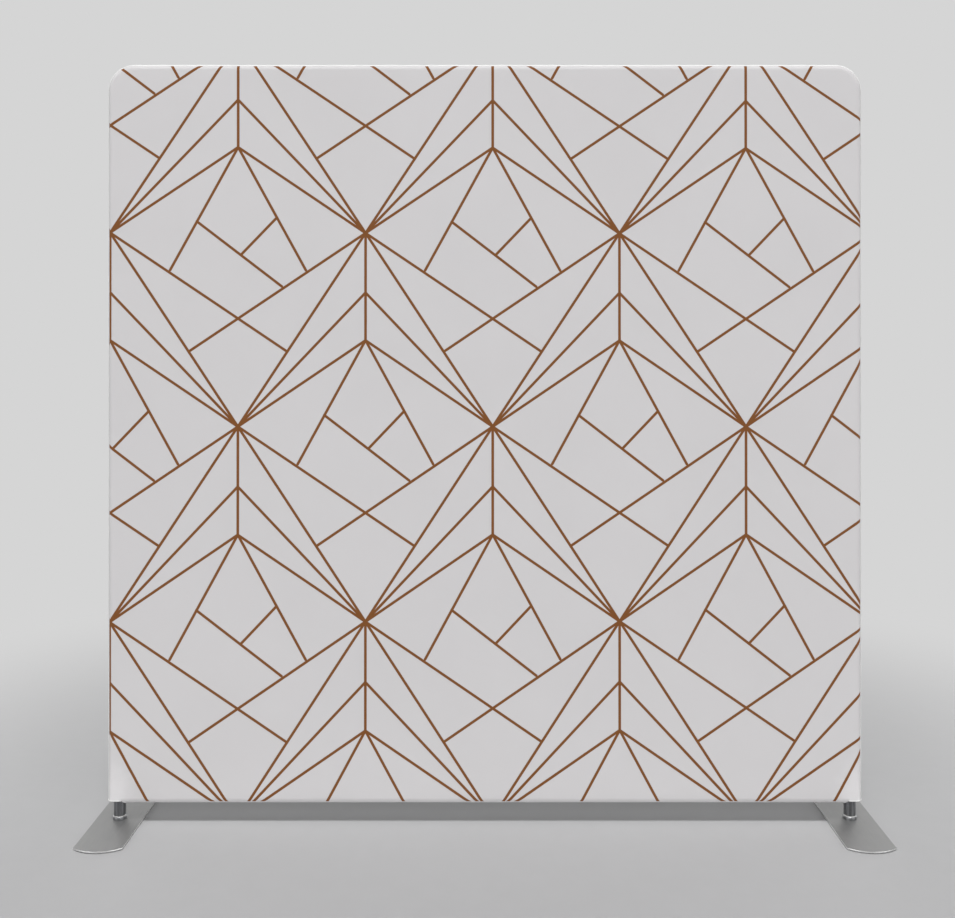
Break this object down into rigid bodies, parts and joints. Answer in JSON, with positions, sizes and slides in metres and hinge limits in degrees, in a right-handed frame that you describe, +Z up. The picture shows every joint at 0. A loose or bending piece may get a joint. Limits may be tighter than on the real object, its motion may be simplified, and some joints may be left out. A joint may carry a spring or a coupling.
{
  "type": "event backdrop",
  "caption": "Free-standing event backdrop: a stretch-fabric cover zipped over a snap-together aluminium tube frame with rounded top corners, on flat swivelling steel feet.",
  "frame": {"origin": "on the floor, under the middle of the panel: the centre of the underside of the bounding box", "axes": "+Z up, +X to the viewer's right along the panel, the printed front faces -Y"},
  "size_m": [2.5194, 0.462, 2.45],
  "materials": {
    "aluminium_tube": "satin drawn tube",
    "sleeve_metal": "bright drawn tube",
    "rivet_metal": "bright",
    "spring_steel": "bright spring steel",
    "button_metal": "nickel plated",
    "saddle_plastic": "moulded matte",
    "foot_steel": "brushed, bright edges",
    "post_steel": "turned and polished",
    "screw_steel": "dark zinc",
    "pad_rubber": "matte",
    "bush_plastic": "smooth nylon",
    "front_fabric": "printed stretch knit, pale grey with copper lines",
    "back_fabric": "plain white stretch knit",
    "cuff_fabric": "white elastic binding",
    "tape_fabric": "woven white tape",
    "coil_plastic": "white nylon coil",
    "zip_metal": "bright cast metal"
  },
  "bodies": {
    "frame": {"left_corner_tube": "aluminium_tube", "left_top_tube": "aluminium_tube", "left_middle_tube": "aluminium_tube", "left_lower_tube": "aluminium_tube", "left_leg_tube": "aluminium_tube", "left_branch_tube": "aluminium_tube", "left_bottom_tube": "aluminium_tube", "right_corner_tube": "aluminium_tube", "right_top_tube": "aluminium_tube", "right_middle_tube": "aluminium_tube", "right_lower_tube": "aluminium_tube", "right_leg_tube": "aluminium_tube", "right_branch_tube": "aluminium_tube", "right_bottom_tube": "aluminium_tube", "upper_post_tube": "aluminium_tube", "lower_post_tube": "aluminium_tube", "top_saddle": "saddle_plastic", "bottom_saddle": "saddle_plastic", "corner_blocks": "saddle_plastic", "left_sleeves": "sleeve_metal", "right_sleeves": "sleeve_metal", "top_sleeves": "sleeve_metal", "bottom_sleeves": "sleeve_metal", "post_sleeve": "sleeve_metal", "leg_joints": "sleeve_metal", "sleeve_rivets": "rivet_metal", "button_springs": "spring_steel", "left_foot_bushes": "bush_plastic", "left_leg_cuff": "cuff_fabric", "right_foot_bushes": "bush_plastic", "right_leg_cuff": "cuff_fabric", "front_cover": "front_fabric", "back_cover": "back_fabric", "upper_zip_tape": "tape_fabric", "lower_zip_tape": "tape_fabric", "upper_zip_coil": "coil_plastic", "lower_zip_coil": "coil_plastic", "zip_stops": "zip_metal"},
    "left_foot": {"left_foot_plate": "foot_steel", "left_foot_post": "post_steel", "left_foot_screw": "screw_steel", "left_foot_pads": "pad_rubber"},
    "right_foot": {"right_foot_plate": "foot_steel", "right_foot_post": "post_steel", "right_foot_screw": "screw_steel", "right_foot_pads": "pad_rubber"},
    "left_lower_button": {"left_lower_button": "button_metal"},
    "left_upper_button": {"left_upper_button": "button_metal"},
    "right_lower_button": {"right_lower_button": "button_metal"},
    "right_upper_button": {"right_upper_button": "button_metal"},
    "top_left_button": {"top_left_button": "button_metal"},
    "top_middle_button": {"top_middle_button": "button_metal"},
    "top_right_button": {"top_right_button": "button_metal"},
    "bottom_left_button": {"bottom_left_button": "button_metal"},
    "bottom_middle_button": {"bottom_middle_button": "button_metal"},
    "bottom_right_button": {"bottom_right_button": "button_metal"},
    "post_button": {"post_button": "button_metal"},
    "zip_slider": {"zip_slider": "zip_metal"},
    "zip_pull": {"zip_pull": "zip_metal"}
  },
  "joints": [
    {"name": "left_foot_swivel", "type": "hinge", "parent": "frame", "child": "left_foot", "pos_m": [-1.1837, 0, 0], "axis": [0, 0, 1], "range_deg": [-90, 90]},
    {"name": "right_foot_swivel", "type": "hinge", "parent": "frame", "child": "right_foot", "pos_m": [1.1837, 0, 0], "axis": [0, 0, 1], "range_deg": [-90, 90]},
    {"name": "left_lower_button_press", "type": "slide", "parent": "frame", "child": "left_lower_button", "axis": [-1, 0, 0], "range_m": [0, 0.0056], "stiffness_N_per_m": 1500, "springref_m": -0.003, "deforming": ["button_springs"]},
    {"name": "left_upper_button_press", "type": "slide", "parent": "frame", "child": "left_upper_button", "axis": [-1, 0, 0], "range_m": [0, 0.0056], "stiffness_N_per_m": 1500, "springref_m": -0.003, "deforming": ["button_springs"]},
    {"name": "right_lower_button_press", "type": "slide", "parent": "frame", "child": "right_lower_button", "axis": [1, 0, 0], "range_m": [0, 0.0056], "stiffness_N_per_m": 1500, "springref_m": -0.003, "deforming": ["button_springs"]},
    {"name": "right_upper_button_press", "type": "slide", "parent": "frame", "child": "right_upper_button", "axis": [1, 0, 0], "range_m": [0, 0.0056], "stiffness_N_per_m": 1500, "springref_m": -0.003, "deforming": ["button_springs"]},
    {"name": "top_left_button_press", "type": "slide", "parent": "frame", "child": "top_left_button", "axis": [0, 0, 1], "range_m": [0, 0.0056], "stiffness_N_per_m": 1500, "springref_m": -0.003, "deforming": ["button_springs"]},
    {"name": "top_middle_button_press", "type": "slide", "parent": "frame", "child": "top_middle_button", "axis": [0, 0, 1], "range_m": [0, 0.0056], "stiffness_N_per_m": 1500, "springref_m": -0.003, "deforming": ["button_springs"]},
    {"name": "top_right_button_press", "type": "slide", "parent": "frame", "child": "top_right_button", "axis": [0, 0, 1], "range_m": [0, 0.0056], "stiffness_N_per_m": 1500, "springref_m": -0.003, "deforming": ["button_springs"]},
    {"name": "bottom_left_button_press", "type": "slide", "parent": "frame", "child": "bottom_left_button", "axis": [0, 0, -1], "range_m": [0, 0.0056], "stiffness_N_per_m": 1500, "springref_m": -0.003, "deforming": ["button_springs"]},
    {"name": "bottom_middle_button_press", "type": "slide", "parent": "frame", "child": "bottom_middle_button", "axis": [0, 0, -1], "range_m": [0, 0.0056], "stiffness_N_per_m": 1500, "springref_m": -0.003, "deforming": ["button_springs"]},
    {"name": "bottom_right_button_press", "type": "slide", "parent": "frame", "child": "bottom_right_button", "axis": [0, 0, -1], "range_m": [0, 0.0056], "stiffness_N_per_m": 1500, "springref_m": -0.003, "deforming": ["button_springs"]},
    {"name": "post_button_press", "type": "slide", "parent": "frame", "child": "post_button", "axis": [-1, 0, 0], "range_m": [0, 0.0056], "stiffness_N_per_m": 1500, "springref_m": -0.003, "deforming": ["button_springs"]},
    {"name": "zip_run", "type": "slide", "parent": "frame", "child": "zip_slider", "axis": [-1, 0, 0], "range_m": [0, 2.179]},
    {"name": "zip_pull_swing", "type": "hinge", "parent": "zip_slider", "child": "zip_pull", "pos_m": [1.08975, 0.0237, 0.1206], "axis": [0, 0, -1], "range_deg": [0, 180]}
  ]
}
